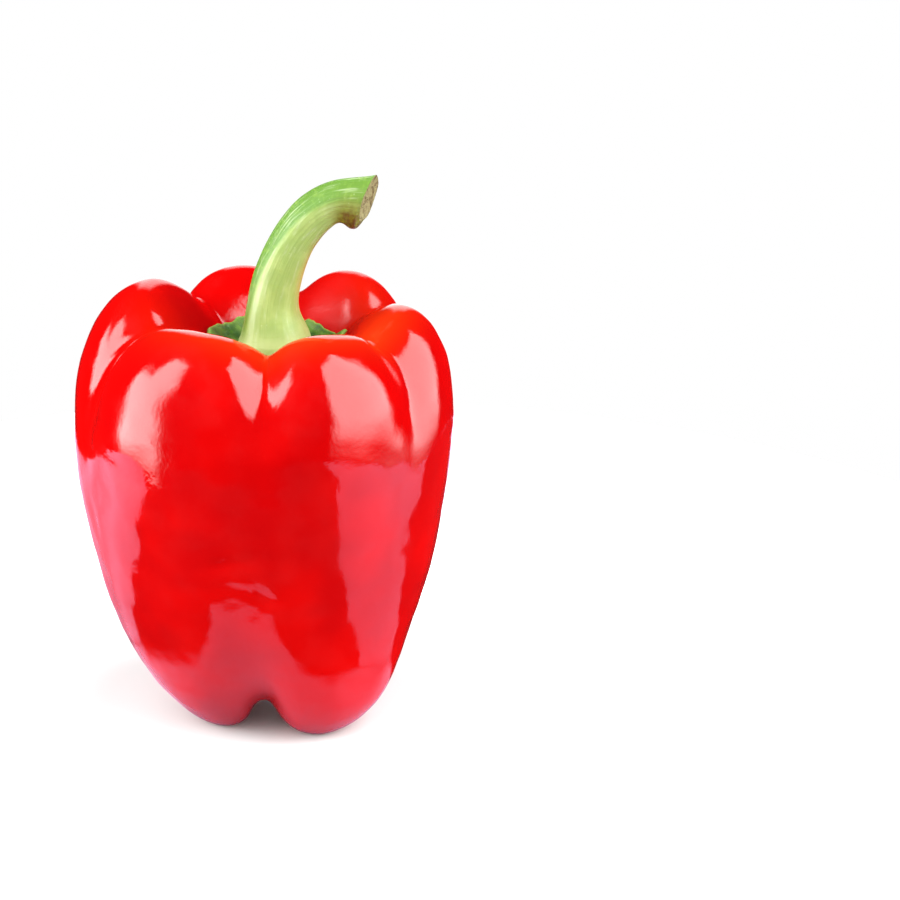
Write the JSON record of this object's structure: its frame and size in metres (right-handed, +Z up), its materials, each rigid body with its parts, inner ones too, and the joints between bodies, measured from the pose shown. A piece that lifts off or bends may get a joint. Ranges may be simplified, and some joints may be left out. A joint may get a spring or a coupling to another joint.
{
  "type": "bell pepper",
  "caption": "Ripe red bell pepper as picked: lobed glossy fruit standing on its feet, with a green calyx and a bent, cut stem in the well at the top.",
  "frame": {"origin": "on the surface that the pepper stands on, below the middle of the fruit", "axes": "+Z up from the feet to the stem; the front is towards -Y and the stem bends towards +X"},
  "size_m": [0.0856, 0.083, 0.1251],
  "materials": {
    "ripe_skin": "gloss",
    "calyx_leaf": "satin",
    "stem_green": "satin"
  },
  "bodies": {
    "root": {"fruit": "ripe_skin", "calyx": "calyx_leaf", "stem": "stem_green"}
  },
  "joints": []
}
